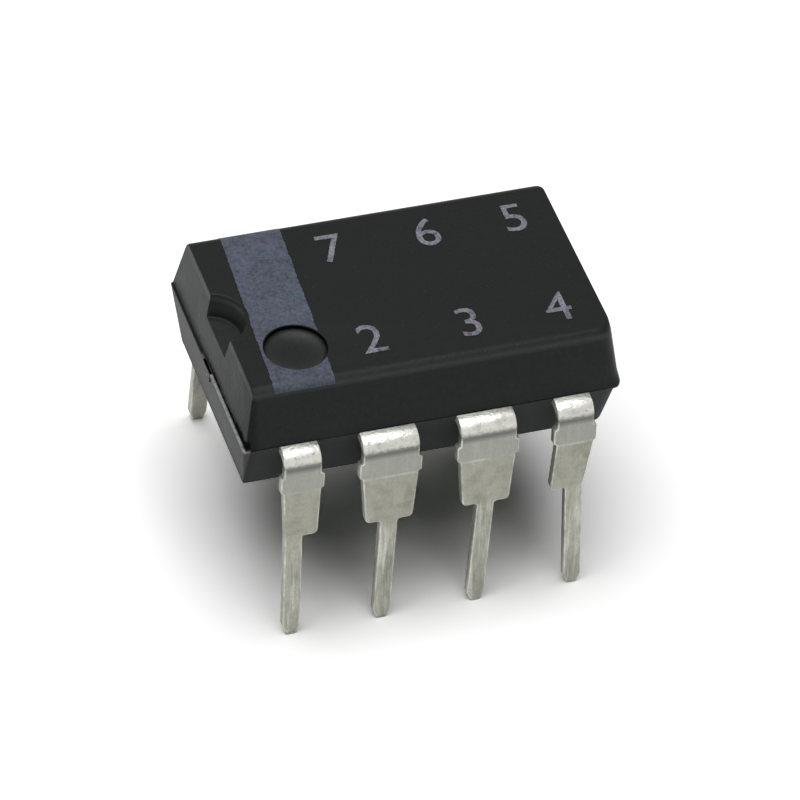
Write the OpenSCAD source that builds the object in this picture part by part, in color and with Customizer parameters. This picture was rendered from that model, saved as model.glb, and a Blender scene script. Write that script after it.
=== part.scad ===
// Eight-pin dual in-line chip: a moulded block with a formed lead frame sealed in it.
// The block's length runs along X with its notch at the -X end, pins 1 to 4 stand along
// the -Y side from left to right, and the tips of the pins stand on the plane Z = 0.

/* [Moulded block] */
// Length of the block at its parting line
block_length = 9.86; // [9.4:0.02:10.4]
// Width of the block at its parting line
block_width = 6.44; // [6.1:0.02:6.8]
// Height of the upper half, from the parting line to the marked face
upper_height = 1.61; // [1.4:0.01:2]
// Height of the lower half, from the parting line to the underside
lower_height = 1.57; // [1.3:0.01:2]
// Draft of the two ends above the parting line, in degrees
upper_end_draft = 9; // [5:0.5:12]
// Draft of the two long sides above the parting line, in degrees
upper_side_draft = 14; // [8:0.5:16]
// Draft of the two ends below the parting line, in degrees
lower_end_draft = 5.5; // [3:0.5:12]
// Draft of the two long sides below the parting line, in degrees
lower_side_draft = 18; // [8:0.5:20]
// Radius of the two long upper edges
edge_radius = 0.24; // [0.1:0.01:0.4]
// How far the flash stands out of the parting line
flash_reach = 0.05; // [0.01:0.01:0.08]
// Thickness of the flash
flash_thickness = 0.05; // [0.02:0.01:0.1]

/* [Marks moulded in the block] */
// Depth of the end notch below the marked face
notch_depth = 0.66; // [0.3:0.01:0.8]
// Radius of the end notch at its floor
notch_radius = 0.8; // [0.5:0.01:1]
// Draft of the notch's wall, in degrees
notch_draft = 8; // [0:1:15]
// Radius of the rounded lip round the notch
notch_lip = 0.08; // [0.03:0.01:0.12]
// Radius of the round dimple beside pin 1
dimple_radius = 0.8; // [0.5:0.01:0.9]
// Depth of the dimple's upright wall
dimple_depth = 0.1; // [0.03:0.01:0.15]
// How much deeper the dimple's dished middle is
dimple_dish = 0.1; // [0.02:0.01:0.14]
// Distance of the dimple's centre from the block's left end
dimple_from_end = 1.74; // [1.6:0.01:2.4]
// Distance of the dimple's centre from the block's front side
dimple_from_side = 1.72; // [1.6:0.01:2]
// Radius of the two ejector marks on the underside
ejector_radius = 0.75; // [0.4:0.01:1]
// Depth of the ejector marks
ejector_depth = 0.06; // [0.03:0.01:0.15]
// Distance between the centres of the ejector marks
ejector_spacing = 5.6; // [4:0.1:6.5]

/* [Leads outside the block] */
// Distance from pin to pin along a row
lead_pitch = 2.54; // [2.4:0.01:2.6]
// Thickness of the lead strip
lead_thickness = 0.25; // [0.2:0.01:0.3]
// Width of an inner lead where it leaves the block
shoulder_width = 1.46; // [1.3:0.01:1.65]
// Width of a pin below its shoulder
pin_width = 0.46; // [0.38:0.01:0.56]
// Length of a pin below its shoulder
pin_length = 3.14; // [2.6:0.02:3.6]
// Height of the leads' upper face above the shoulders' lower edge
lead_rise = 2.56; // [2.3:0.02:3]
// Straight length of a lead between the block and its bend
lead_run = 0.1; // [0.05:0.01:0.3]
// Inside radius of the bend
bend_radius = 0.14; // [0.08:0.01:0.25]
// Angle by which the legs spread from upright, in degrees
leg_splay = 5; // [0:0.5:8]
// How far the trimmed dam bar's ears stand out of a lead's sides
ear_reach = 0.085; // [0.03:0.005:0.15]
// Height of the ears
ear_height = 0.42; // [0.3:0.02:0.6]
// Distance from the leads' upper face down to the top of the ears
ear_drop = 0.68; // [0.6:0.02:0.9]
// How much a shoulder narrows on each side, from below its ear to its lower edge
shoulder_taper = 0.105; // [0.03:0.005:0.15]
// Radius of a shoulder's lower corners
shoulder_radius = 0.13; // [0.05:0.01:0.18]
// Radius of the inside corners above a pin
neck_radius = 0.07; // [0.03:0.01:0.1]
// Width of the bevels at a pin's tip
tip_bevel_width = 0.11; // [0.05:0.01:0.17]
// Height of the bevels at a pin's tip
tip_bevel_height = 0.26; // [0.1:0.01:0.4]
// Sideways set that handling gave the shoulders of pins 1 to 4
neck_set = [0.05, 0, 0, -0.2]; // [-0.25:0.01:0.25]
// Sideways set that handling gave the tips of pins 1 to 4
tip_set = [0.06, -0.1, -0.14, -0.09]; // [-0.25:0.01:0.25]

/* [Lead frame inside the block] */
// Length of the pad that carries the die
pad_length = 3.2; // [2.6:0.05:3.4]
// Width of the pad that carries the die
pad_width = 2.5; // [2:0.05:2.7]
// Width of the tie bars from the pad to the block's ends
tie_width = 0.6; // [0.3:0.02:0.8]
// Gap between the pad and the fingers round it
finger_gap = 0.3; // [0.2:0.01:0.4]
// Width of a finger's inner end
finger_width = 0.56; // [0.4:0.01:0.7]
// Width of the neck that locks a finger in the moulding
lock_width = 0.4; // [0.3:0.01:0.46]
// Length of the locking neck
lock_length = 0.3; // [0.2:0.01:0.4]
// Length of full-width lead inside the block's side
lock_inset = 0.5; // [0.4:0.02:0.7]

/* [Die and bond wires] */
// Length of the silicon die
die_length = 1.5; // [1.2:0.05:2]
// Width of the silicon die
die_width = 1.3; // [1:0.05:1.6]
// Thickness of the silicon die
die_thickness = 0.3; // [0.2:0.01:0.4]
// Thickness of the adhesive under the die
adhesive_thickness = 0.04; // [0.02:0.01:0.08]
// Distance of the bond pads from the die's edges
bond_inset = 0.14; // [0.1:0.01:0.25]
// Diameter of the bond wires
wire_diameter = 0.04; // [0.03:0.005:0.06]
// How much thicker a wire is at its neck, above its ball
neck_swell = 0.01; // [0.005:0.005:0.02]
// Diameter of the ball bonds on the die
ball_diameter = 0.1; // [0.08:0.01:0.14]
// Height of the ball bonds
ball_height = 0.03; // [0.02:0.005:0.05]
// Height of a wire's loop above the die
loop_height = 0.3; // [0.2:0.01:0.4]
// Radius of the curve at the top of a wire's loop
loop_radius = 0.12; // [0.08:0.01:0.16]
// Distance of a wire's foot from the end of its finger
foot_inset = 0.25; // [0.15:0.01:0.4]

/* [Ink band] */
// Width of the printed band across the block
band_width = 1.56; // [1:0.02:1.8]
// Distance of the band's left edge from the block's left end, at the block's middle
band_from_end = 0.93; // [0.7:0.01:1.3]
// Angle by which the band runs out of square, in degrees
band_slant = 2.8; // [0:0.1:4]
// Thickness of the ink
ink_thickness = 0.02; // [0.01:0.005:0.03]
// How far the band comes down the front and back below the marked face
band_drop = 0.15; // [0.08:0.01:0.2]

/* [Hidden] */
$fn = 48;

row_count = 4;
wired_leads = [1 : 7];
parting_z = pin_length + lead_rise;
top_z = parting_z + upper_height;
bottom_z = parting_z - lower_height;
die_z = parting_z + adhesive_thickness + die_thickness;
end_x = block_length / 2;
side_y = block_width / 2;
outer_bend = bend_radius + lead_thickness;
bend_y = side_y + lead_run;
bend_z = parting_z - outer_bend;
leg_length = (bend_z + bend_radius * sin(leg_splay)) / cos(leg_splay);
pin_half = pin_width / 2;
shoulder_half = shoulder_width / 2;
finger_half = finger_width / 2;
lock_half = lock_width / 2;
lock_y = side_y - lock_inset;
finger_tip_y = pad_width / 2 + finger_gap;
finger_tip_x = pad_length / 2 + finger_gap;
arm_y = tie_width / 2 + finger_gap + finger_half;
slot = 1; // reach of a cutting shape past the surface that it opens
mould_colour = [0.17, 0.18, 0.18];
tin_colour = [0.68, 0.68, 0.64];
copper_colour = [0.72, 0.45, 0.3];
glue_colour = [0.75, 0.75, 0.72];
silicon_colour = [0.3, 0.32, 0.4];
gold_colour = [0.9, 0.7, 0.3];
ink_colour = [0.36, 0.37, 0.45];

// Points of an arc round a centre, from one angle to another
function arc(centre, radius, from, to, steps = 6) =
  [for (i = [0 : steps])
    let (a = from + (to - from) * i / steps)
    centre + radius * [cos(a), sin(a)]];

// Place of a lead along its row, and the side of the row it belongs to
function row_index(pin) = (pin - 1) % row_count;
function lead_x(index) = (index - (row_count - 1) / 2) * lead_pitch;
function is_first(index) = index == 0;
function is_last(index) = index == row_count - 1;

// Half widths of a lead to its left and right: an end lead has no shoulder on its outer side
function left_half(index) = is_first(index) ? pin_half : shoulder_half;
function right_half(index) = is_last(index) ? pin_half : shoulder_half;

// Puts a front-row shape in its place, or turns it round to the back row
module in_row(pin) {
  rotate([0, 0, pin > row_count ? 180 : 0]) children();
}

// Moulded block

// Section across the block's upper half, with its long edges rounded, in Y and Z from the
// parting line; grow sets every face outwards, for a film that lies on the block
module upper_section(grow = 0) {
  radius = edge_radius + grow;
  height = upper_height + grow;
  foot = side_y + grow / cos(upper_side_draft);
  corner = foot - height * tan(upper_side_draft);
  tangent = radius * tan((90 - upper_side_draft) / 2);
  rim = [for (side = [1, -1])
    each [for (p = arc([corner - tangent, height - radius], radius,
        side > 0 ? upper_side_draft : 90, side > 0 ? 90 : upper_side_draft))
      [side * p.x, p.y]]];
  polygon(concat([[-foot, 0], [foot, 0]], rim));
}

// A drafted half of the block: its end outline crossed with its side section
module drafted_half(height, end_draft) {
  top_x = end_x - height * tan(end_draft);
  intersection() {
    rotate([90, 0, 0])
      linear_extrude(height = block_width + slot, center = true)
        polygon([[-end_x, 0], [end_x, 0], [top_x, height], [-top_x, height]]);
    rotate([90, 0, 90])
      linear_extrude(height = block_length + slot, center = true)
        children();
  }
}

module upper_half() {
  translate([0, 0, parting_z])
    drafted_half(upper_height, upper_end_draft) upper_section();
}

module lower_half() {
  low_y = side_y - lower_height * tan(lower_side_draft);
  translate([0, 0, parting_z])
    mirror([0, 0, 1])
      drafted_half(lower_height, lower_end_draft)
        polygon([[-side_y, 0], [side_y, 0], [low_y, lower_height], [-low_y, lower_height]]);
}

module flash() {
  translate([0, 0, parting_z - flash_thickness / 2])
    cube([block_length + 2 * flash_reach, block_width + 2 * flash_reach, flash_thickness],
      center = true);
}

// Half-round notch in the left end: a drafted wall with a rounded lip
module end_notch() {
  lip_y = notch_depth - notch_lip * (1 - sin(notch_draft));
  lip_x = notch_radius + lip_y * tan(notch_draft);
  lip_centre = [lip_x + notch_lip * cos(notch_draft), notch_depth - notch_lip];
  translate([-end_x, 0, top_z - notch_depth])
    rotate_extrude()
      polygon(concat(
        [[0, 0], [notch_radius, 0]],
        arc(lip_centre, notch_lip, 180 - notch_draft, 90),
        [[lip_centre.x, notch_depth + slot], [0, notch_depth + slot]]));
}

// Shallow round mark beside pin 1, with a dished floor
module first_pin_dimple() {
  dish_radius = (dimple_radius * dimple_radius + dimple_dish * dimple_dish) / (2 * dimple_dish);
  translate([-end_x + dimple_from_end, -side_y + dimple_from_side, top_z - dimple_depth]) {
    cylinder(r = dimple_radius, h = slot);
    intersection() {
      translate([0, 0, dish_radius - dimple_dish]) sphere(r = dish_radius);
      translate([0, 0, -slot]) cylinder(r = dimple_radius, h = 2 * slot);
    }
  }
}

module ejector_marks() {
  for (side = [-1, 1])
    translate([side * ejector_spacing / 2, 0, bottom_z - slot])
      cylinder(r = ejector_radius, h = slot + ejector_depth);
}

module moulded_body() {
  color(mould_colour)
    difference() {
      union() {
        upper_half();
        lower_half();
        flash();
      }
      end_notch();
      first_pin_dimple();
      ejector_marks();
      for (pin = [1 : 2 * row_count]) lead(pin);
      die_pad();
      die_adhesive();
      silicon_die();
      for (pin = wired_leads) bond_wire(pin);
    }
}

// Leads

// Flat finger of an inner lead, from the bend in to its tip beside the pad
module straight_finger() {
  polygon([
    [-shoulder_half, -bend_y], [shoulder_half, -bend_y], [shoulder_half, -lock_y],
    [lock_half, -lock_y], [lock_half, -lock_y + lock_length],
    [finger_half, -lock_y + lock_length], [finger_half, -finger_tip_y],
    [-finger_half, -finger_tip_y], [-finger_half, -lock_y + lock_length],
    [-lock_half, -lock_y + lock_length], [-lock_half, -lock_y], [-shoulder_half, -lock_y]]);
}

// Flat finger of the left end lead, which turns in to the pad's end beside the tie bar
module turned_finger(reach) {
  arm_left = -pin_half;
  arm_right = arm_left + finger_width;
  polygon([
    [-pin_half, -bend_y], [shoulder_half, -bend_y], [shoulder_half, -lock_y],
    [arm_left + lock_width, -lock_y], [arm_left + lock_width, -lock_y + lock_length],
    [arm_right, -lock_y + lock_length], [arm_right, -arm_y - finger_half],
    [reach, -arm_y - finger_half], [reach, -arm_y + finger_half],
    [arm_right, -arm_y + finger_half], [arm_left, -arm_y - finger_half]]);
}

module finger(index) {
  if (is_first(index)) turned_finger(-finger_tip_x - lead_x(index));
  else if (is_last(index)) mirror([1, 0]) turned_finger(-finger_tip_x + lead_x(index));
  else straight_finger();
}

// The bend from the flat run down into the leg
module bend(index) {
  translate([0, -bend_y, bend_z])
    rotate([0, -90, 180])
      rotate_extrude(angle = 90 - leg_splay)
        translate([bend_radius, -left_half(index)])
          square([lead_thickness, left_half(index) + right_half(index)]);
}

// One edge of a leg's outline, from the bend down to the tip, to the right of its middle
function shouldered_edge(neck, tip) =
  let (
    ear_x = shoulder_half + ear_reach,
    low_x = shoulder_half - shoulder_taper + neck,
    seat = pin_length / cos(leg_splay),
    ear_top = (parting_z - ear_drop) / cos(leg_splay),
    ear_low = ear_top - ear_height,
    pin_x = neck + pin_half
  )
  concat(
    [[shoulder_half, leg_length], [shoulder_half, ear_top + ear_reach / 2],
      [ear_x, ear_top], [ear_x, ear_low], [shoulder_half, ear_low - ear_reach / 2]],
    arc([low_x - shoulder_radius, seat + shoulder_radius], shoulder_radius, 0, -90),
    arc([pin_x + neck_radius, seat - neck_radius], neck_radius, 90, 180),
    [[tip + pin_half, tip_bevel_height], [tip + pin_half - tip_bevel_width, 0]]);

// The outer edge of an end lead, which has an ear and no shoulder
function plain_edge(neck, tip) =
  let (
    seat = pin_length / cos(leg_splay),
    ear_top = (parting_z - ear_drop) / cos(leg_splay),
    ear_low = ear_top - ear_height
  )
  [[pin_half, leg_length], [pin_half, ear_top + ear_reach / 2], [pin_half + ear_reach, ear_top],
    [pin_half + ear_reach, ear_low], [pin_half + ear_reach / 4, ear_low - ear_reach],
    [neck + pin_half, seat], [tip + pin_half, tip_bevel_height],
    [tip + pin_half - tip_bevel_width, 0]];

function flipped(points) = [for (i = [len(points) - 1 : -1 : 0]) [-points[i].x, points[i].y]];

// Outline of a leg laid flat: X across it, Y up from its tip
module leg_outline(pin) {
  index = row_index(pin);
  neck = pin > row_count ? 0 : neck_set[index];
  tip = pin > row_count ? 0 : tip_set[index];
  right = is_last(index) ? plain_edge(neck, tip) : shouldered_edge(neck, tip);
  left = is_first(index) ? plain_edge(-neck, -tip) : shouldered_edge(-neck, -tip);
  polygon(concat(right, flipped(left)));
}

module leg(pin) {
  translate([0, -bend_y, bend_z])
    rotate([-leg_splay, 0, 0])
      translate([0, -bend_radius, -leg_length])
        rotate([90, 0, 0])
          linear_extrude(height = lead_thickness)
            leg_outline(pin);
}

module lead(pin) {
  index = row_index(pin);
  color(tin_colour)
    in_row(pin)
      translate([lead_x(index), 0, 0]) {
        translate([0, 0, parting_z - lead_thickness])
          linear_extrude(height = lead_thickness) finger(index);
        bend(index);
        leg(pin);
      }
}

// Pieces sealed in the block

// Pad with a tie bar to each end of the block
module die_pad() {
  color(copper_colour)
    translate([0, 0, parting_z - lead_thickness])
      linear_extrude(height = lead_thickness) {
        square([pad_length, pad_width], center = true);
        square([block_length + 2 * flash_reach, tie_width], center = true);
      }
}

module die_adhesive() {
  color(glue_colour)
    translate([0, 0, parting_z + adhesive_thickness / 2])
      cube([die_length, die_width, adhesive_thickness], center = true);
}

module silicon_die() {
  color(silicon_colour)
    translate([0, 0, parting_z + adhesive_thickness + die_thickness / 2])
      cube([die_length, die_width, die_thickness], center = true);
}

// Where each front-row wire starts on the die and ends on its finger
function ball_at(index) =
  is_first(index) ? [-die_length / 2 + bond_inset, -die_width / 4] :
  is_last(index) ? [die_length / 2 - bond_inset, -die_width / 4] :
  [sign(lead_x(index)) * die_length / 4, -die_width / 2 + bond_inset];
function foot_at(index) =
  is_first(index) ? [-finger_tip_x - foot_inset, -arm_y] :
  is_last(index) ? [finger_tip_x + foot_inset, -arm_y] :
  [lead_x(index), -finger_tip_y - foot_inset];

// A ball bond, a neck that rises from it, one curve, and a straight run down to the foot
module bond_wire(pin) {
  index = row_index(pin);
  ball = ball_at(index);
  foot = foot_at(index);
  span = norm(foot - ball);
  heading = atan2(foot.y - ball.y, foot.x - ball.x);
  neck_top = loop_height - loop_radius;
  fall = die_z + neck_top - parting_z;
  reach = span - loop_radius;
  slope = atan2(fall, reach) + asin(loop_radius / norm([reach, fall]));
  run = (fall + loop_radius * cos(slope)) / sin(slope);
  radius = wire_diameter / 2;
  color(gold_colour)
    in_row(pin)
      translate([ball.x, ball.y, die_z])
        rotate([0, 0, heading]) {
          cylinder(d = ball_diameter, h = ball_height);
          cylinder(d = wire_diameter + neck_swell, h = neck_top + wire_diameter / 4);
          difference() {
            translate([loop_radius, 0, neck_top])
              rotate([90, 0, 0])
                rotate([0, 0, 90 - slope]) {
                  rotate_extrude(angle = 90 + slope)
                    translate([loop_radius, 0]) circle(r = radius);
                  translate([loop_radius, 0, 0])
                    rotate([90, 0, 0]) cylinder(r = radius, h = run + wire_diameter);
                }
            translate([span - slot / 2, -slot / 2, parting_z - die_z - slot]) cube(slot);
          }
        }
}

// Printed band across the block, open where the dimple is
module ink_band() {
  lean = tan(band_slant) * side_y;
  left = -end_x + band_from_end;
  right = left + band_width;
  color(ink_colour)
    difference() {
      intersection() {
        translate([0, 0, parting_z])
          rotate([90, 0, 90])
            linear_extrude(height = block_length, center = true)
              difference() {
                upper_section(ink_thickness);
                upper_section();
              }
        translate([0, 0, top_z - band_drop])
          linear_extrude(height = slot)
            polygon([[left - lean, -side_y], [right - lean, -side_y],
              [right + lean, side_y], [left + lean, side_y]]);
      }
      translate([-end_x + dimple_from_end, -side_y + dimple_from_side, top_z - slot / 2])
        cylinder(r = dimple_radius, h = slot);
      end_notch();
    }
}

moulded_body();
for (pin = [1 : 2 * row_count])
  lead(pin);
die_pad();
die_adhesive();
silicon_die();
for (pin = wired_leads)
  bond_wire(pin);
ink_band();
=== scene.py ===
"""Looks of an eight-pin dual in-line chip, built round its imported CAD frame."""

import math
import random

import bmesh
import bpy
from mathutils import Matrix, Vector


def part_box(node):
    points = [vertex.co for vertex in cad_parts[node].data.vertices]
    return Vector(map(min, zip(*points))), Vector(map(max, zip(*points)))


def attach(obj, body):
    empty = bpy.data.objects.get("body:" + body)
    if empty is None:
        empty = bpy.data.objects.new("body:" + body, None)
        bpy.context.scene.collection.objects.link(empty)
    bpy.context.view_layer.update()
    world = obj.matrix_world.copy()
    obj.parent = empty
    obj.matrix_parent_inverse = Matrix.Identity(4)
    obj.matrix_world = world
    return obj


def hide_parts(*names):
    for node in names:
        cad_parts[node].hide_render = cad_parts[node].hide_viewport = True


bl_info = {
    "name": "Dual in-line chip",
    "version": (1, 0, 0),
    "blender": (4, 5, 0),
    "location": "3D View > Sidebar > Chip",
    "description": "Dresses the chip's moulding, leads and ink, and sets the stage",
    "category": "Object",
}

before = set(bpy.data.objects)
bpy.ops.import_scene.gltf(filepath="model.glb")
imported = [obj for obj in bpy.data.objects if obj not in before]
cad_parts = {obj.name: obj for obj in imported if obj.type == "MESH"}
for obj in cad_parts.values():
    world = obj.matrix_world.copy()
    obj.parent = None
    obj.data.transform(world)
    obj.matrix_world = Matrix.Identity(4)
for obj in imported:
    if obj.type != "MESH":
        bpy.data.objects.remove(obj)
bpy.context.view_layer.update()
MM = 0.001

# Places that the frame gives: the block's outer box takes in the flash, and a lead's top face
# lies on the parting line
BLOCK_LOW, BLOCK_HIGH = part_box("moulded_body")
TOP_Z = BLOCK_HIGH.z
PARTING_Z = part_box("lead_2")[1].z
BAND_LOW_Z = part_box("ink_band")[0].z
LEADS = [name for name in sorted(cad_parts) if name.startswith("lead_")]
WIRES = [name for name in sorted(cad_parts) if name.startswith("bond_wire_")]

# Heights on a lead where its colour changes, painted highlight and painted reflection included
PIN_TOP_Z = PARTING_Z - 2.6 * MM
EAR_FOOT_Z = PARTING_Z - 1.13 * MM
BEND_FOOT_Z = PARTING_Z - 0.4 * MM

# Height over the parting line up to which the block's front far corner flares out
FLARE = 0.3 * MM
# Places of the pin numbers along the block, in millimetres
NUMBER_X = {2: -1.27, 3: 1.27, 4: 3.6, 5: 3.6, 6: 1.27, 7: -1.27}
# Number of faces across the ink band
BAND_COLUMNS = 24
# Attribute that is 1 on the faces of a lead's rounded edges
EDGE_MARK = "stamped_edge"

# Colours painted on the moulding: a painted reflection, painted shade and a painted highlight
# painted reflection: the strip under the notched end, which faces the floor, made lighter
STRIP_REFLECTION = (0.055, 0.058, 0.056)
# painted shade in the crease over the parting line
CREASE_SHADE = (0.006, 0.006, 0.006)
# painted highlight on the flash's lip at the parting line
LIP_HIGHLIGHT = (0.4, 0.41, 0.39)
# painted shade in the corner of the dimple
CORNER_SHADE = (0.003, 0.003, 0.003)

# Colours of the marks on the plating, some of them painted highlight or painted reflection
CLEAN_BAND = (0.33, 0.34, 0.315)
SCORE = (0.17, 0.17, 0.15)
# light streaks along the pins: partly scoring, partly painted highlight
STREAK = (0.62, 0.62, 0.56)
CRYSTAL = (0.26, 0.26, 0.22)
# painted reflection: a dark band where the bends' foot faces the horizon
DARK_REFLECTION = (0.16, 0.16, 0.15)
SPECK = (0.12, 0.12, 0.11)
SMUDGE = (0.45, 0.45, 0.42)
# painted highlight along the ridge at the ears' foot
RIDGE_HIGHLIGHT = (0.60, 0.60, 0.55)
CUT_TIP = (0.2, 0.17, 0.13)

# Colour of the moulding where it shows through the ink
UNDER_INK = (0.042, 0.048, 0.060)
# Colour of the floor to the camera and to reflections, above 1 so that it stays white
WHITE_FLOOR = (1.5, 1.5, 1.5)


def length(name, description, millimetres):
    return bpy.props.FloatProperty(
        name=name, description=description, default=millimetres * MM, unit="LENGTH",
        precision=5, min=0)


def angle(name, description, degrees):
    return bpy.props.FloatProperty(
        name=name, description=description, default=math.radians(degrees), unit="ROTATION")


def level(name, description, value, highest):
    return bpy.props.FloatProperty(
        name=name, description=description, default=value, min=0, max=highest, subtype="FACTOR")


def colour(name, description, value):
    return bpy.props.FloatVectorProperty(
        name=name, description=description, default=value, size=3, min=0, max=1,
        subtype="COLOR")


class ChipMoulding(bpy.types.PropertyGroup):
    """Sizes and colours of the moulded block."""

    flash: length("Flash", "Reach of the flash past the block's sides", 0.05)
    end_draft: angle("End draft", "Draft of the notched end above the parting line", 9)
    far_draft: angle("Far end draft", "Draft of the plain end above the parting line", 8)
    side_draft: angle("Side draft", "Draft of the front above the parting line", 14)
    back_draft: angle("Back draft", "Draft of the back above the parting line", 10)
    lower_end_draft: angle("Lower end draft", "Draft of the notched end under the line", 7.5)
    lower_far_draft: angle("Lower far draft", "Draft of the plain end under the line", 3.5)
    lower_side_draft: angle("Lower side draft", "Draft of the lower front and back", 18)
    long_radius: length("Long edge radius", "Radius of the upper front and back edges", 0.3)
    end_radius: length("End edge radius", "Radius of the crisp edges at the ends", 0.035)
    corner_radius: length("Corner radius", "Radius of the notched end's upright corners", 0.06)
    far_corner: length("Far corner radius", "Radius of the plain end's back corner", 0.16)
    front_corner: length("Front corner radius", "Radius of the plain end's front corner", 0.42)
    crease: length("Crease", "Depth of the crease over the parting line", 0.05)
    shift: length("Shift", "How far the lower half sits towards the notched end", 0.045)
    notch_depth: length("Notch depth", "Depth of the end notch", 0.66)
    notch_radius: length("Notch radius", "Radius of the notch's floor", 0.8)
    notch_draft: angle("Notch draft", "Draft of the notch's wall", 8)
    notch_lip: length("Notch lip", "Radius of the notch's rim", 0.08)
    dimple_radius: length("Dimple radius", "Radius of the mark beside pin 1", 0.8)
    dimple_depth: length("Dimple depth", "Depth of the mark's wall", 0.1)
    dimple_dish: length("Dimple dish", "How far the mark's floor is dished", 0.12)
    dimple_x: length("Dimple from end", "Mark's middle from the left end", 1.74)
    dimple_y: length("Dimple from side", "Mark's middle from the front", 1.72)
    ejector_radius: length("Ejector radius", "Radius of the marks underneath", 0.75)
    ejector_depth: length("Ejector depth", "Depth of the marks underneath", 0.06)
    ejector_spacing: length("Ejector spacing", "Distance between the marks underneath", 5.6)
    flash_step: length("Flash step", "Distance between the flash's own points", 0.04)
    epoxy: colour("Epoxy", "Colour of the moulding", (0.0160, 0.0188, 0.0182))
    filler: colour("Filler", "Colour of the filler grains in the moulding", (0.035, 0.038, 0.037))


class ChipLeads(bpy.types.PropertyGroup):
    """Finish of the leads."""

    edge: length("Edge", "Rounding of the stamped edges", 0.035)
    tin: colour("Tin", "Colour of the plating", (0.40, 0.40, 0.345))
    stain: colour("Stain", "Colour of the plating's duller blotches", (0.27, 0.275, 0.215))
    # painted highlight colour, laid on the bends and the rounded edges; the pins lean a little
    # towards it
    bright: colour("Bright tin", "Colour where the plating is burnished", (0.84, 0.84, 0.78))


class ChipInk(bpy.types.PropertyGroup):
    """Sizes and colour of the printing."""

    width: length("Band width", "Width of the band", 1.56)
    from_end: length("Band from end", "Band's left edge from the block's end", 0.93)
    slant: angle("Band slant", "Angle by which the band runs out of square", 2.8)
    thickness: length("Ink thickness", "Thickness of the ink film", 0.008)
    ragged: length("Ragged edge", "Reach of the edge's raggedness", 0.018)
    digit_height: length("Digit height", "Height of the pin numbers", 1.02)
    row_y: length("Row distance", "Distance of the number rows from the middle", 1.72)
    ink: colour("Ink", "Colour of the band's ink", (0.122, 0.149, 0.200))
    pale: colour("Pale ink", "Colour of the numbers' ink", (0.32, 0.335, 0.38))


class ChipStage(bpy.types.PropertyGroup):
    """Light, floor and camera."""

    floor: colour("Floor", "Colour of the floor", (0.78, 0.78, 0.78))
    sky: level("Sky", "Level of the light from all round", 0.21, 4)
    dusk: level("High sky", "Level of the sky overhead as reflections see it", 0.25, 4)
    key: level("Key", "Radiance of the large lamp overhead", 3.6, 10)


def settings(kind):
    """The scene's property group of a kind."""
    return getattr(bpy.context.scene, kind)


# Nodes and materials

def join(tree, value, socket):
    """Links a socket to another one, or gives it a plain value."""
    if isinstance(value, bpy.types.NodeSocket):
        tree.links.new(value, socket)
    else:
        socket.default_value = value


def add_node(tree, kind, sockets=None, **choices):
    """Adds a node with its choices made and the given sockets joined or set."""
    node = tree.nodes.new(kind)
    for key, value in choices.items():
        setattr(node, key, value)
    for key, value in (sockets or {}).items():
        join(tree, value, node.inputs[key])
    return node


def mix_colours(tree, amount, a, b):
    """Colour a where amount is 0, and b where it is 1."""
    a, b = (c if isinstance(c, bpy.types.NodeSocket) else (*c[:3], 1) for c in (a, b))
    return add_node(tree, "ShaderNodeMix", {0: amount, 6: a, 7: b}, data_type="RGBA").outputs[2]


class Finish:
    """A material that is being built: each call adds a node and joins it up."""

    def __init__(self, name):
        self.material = bpy.data.materials.new(name)
        self.material.use_nodes = True
        self.tree = self.material.node_tree
        self.shader = self.tree.nodes["Principled BSDF"]
        self.point = self.add("ShaderNodeTexCoord").outputs["Object"]

    def add(self, kind, sockets=None, **choices):
        return add_node(self.tree, kind, sockets, **choices)

    def set(self, **sockets):
        """Joins or sets the shader's sockets, whose names have underscores for spaces."""
        for key, value in sockets.items():
            join(self.tree, value, self.shader.inputs[key.replace("_", " ")])

    def upright(self, scale):
        """Object coordinates that stretch a pattern along Z where scale is under 1."""
        scales = (1, 1, scale)
        return self.add("ShaderNodeMapping", {"Vector": self.point, "Scale": scales}).outputs[0]

    def noise(self, size, detail, rough, point=None):
        """Noise whose features are about size millimetres across."""
        return self.add("ShaderNodeTexNoise", {
            "Vector": point or self.point, "Scale": 1 / (size * MM),
            "Detail": detail, "Roughness": rough}).outputs["Fac"]

    def math(self, operation, a, b=0.0):
        return self.add("ShaderNodeMath", {0: a, 1: b}, operation=operation).outputs[0]

    def times(self, a, b):
        return self.math("MULTIPLY", a, b)

    def plus(self, a, b):
        return self.math("ADD", a, b)

    def fade(self, value, low, high, to_low=0.0, to_high=1.0):
        """Goes from to_low where value is low to to_high where it is high, and no further."""
        return self.add("ShaderNodeMapRange", {
            "Value": value, "From Min": low, "From Max": high,
            "To Min": to_low, "To Max": to_high}).outputs[0]

    def past(self, value, place, low, high, to_low=0.0, to_high=1.0):
        """Fade between two distances, in millimetres, from a place in metres."""
        return self.fade(value, place + low * MM, place + high * MM, to_low, to_high)

    def near(self, value, middle, reach):
        """1 where value is middle, 0 from reach millimetres away."""
        off = self.math("ABSOLUTE", self.math("SUBTRACT", value, middle))
        return self.past(off, 0, 0, reach, 1, 0)

    def axis(self, letter):
        return self.add("ShaderNodeSeparateXYZ", {0: self.point}).outputs[letter]

    def mix(self, amount, a, b):
        return mix_colours(self.tree, amount, a, b)

    def bump(self, height, depth, after=None):
        """Bump with a depth in millimetres."""
        sockets = {"Height": height, "Distance": depth * MM, "Strength": 1.0}
        if after is not None:
            sockets["Normal"] = after
        return self.add("ShaderNodeBump", sockets).outputs[0]


def marked_face(f, y, z):
    """1 on the marked face and on the edges round it, apart from the front one."""
    edges = f.times(f.past(z, TOP_Z, -0.30, -0.25), f.past(y, BLOCK_LOW.y, 0.42, 0.52))
    return f.math("MAXIMUM", edges, f.past(z, TOP_Z, -0.05, -0.01))


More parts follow.
